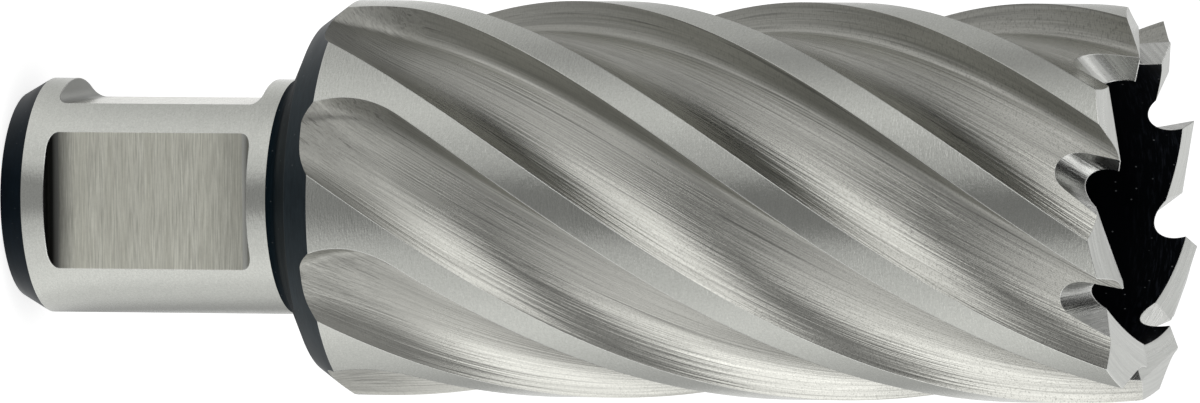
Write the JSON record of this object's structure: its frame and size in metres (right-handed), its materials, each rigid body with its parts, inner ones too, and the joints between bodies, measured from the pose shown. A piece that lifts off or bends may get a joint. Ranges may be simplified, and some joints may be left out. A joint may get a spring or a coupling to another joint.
{
  "type": "annular cutter",
  "caption": "Hollow fluted hole cutter with ground end teeth, a cone shoulder and a plain shank with clamping flats; it cuts a ring through steel plate and leaves the core whole.",
  "frame": {"origin": "middle of the shank's end face, on the axis; the part stands on this end", "axes": "+Z along the axis from the shank's end to the cutting teeth; one clamping flat faces -Y and the other -X"},
  "size_m": [0.032, 0.032, 0.0946],
  "materials": {
    "tool_steel": "ground"
  },
  "bodies": {
    "root": {"annular_cutter": "tool_steel"}
  },
  "joints": []
}
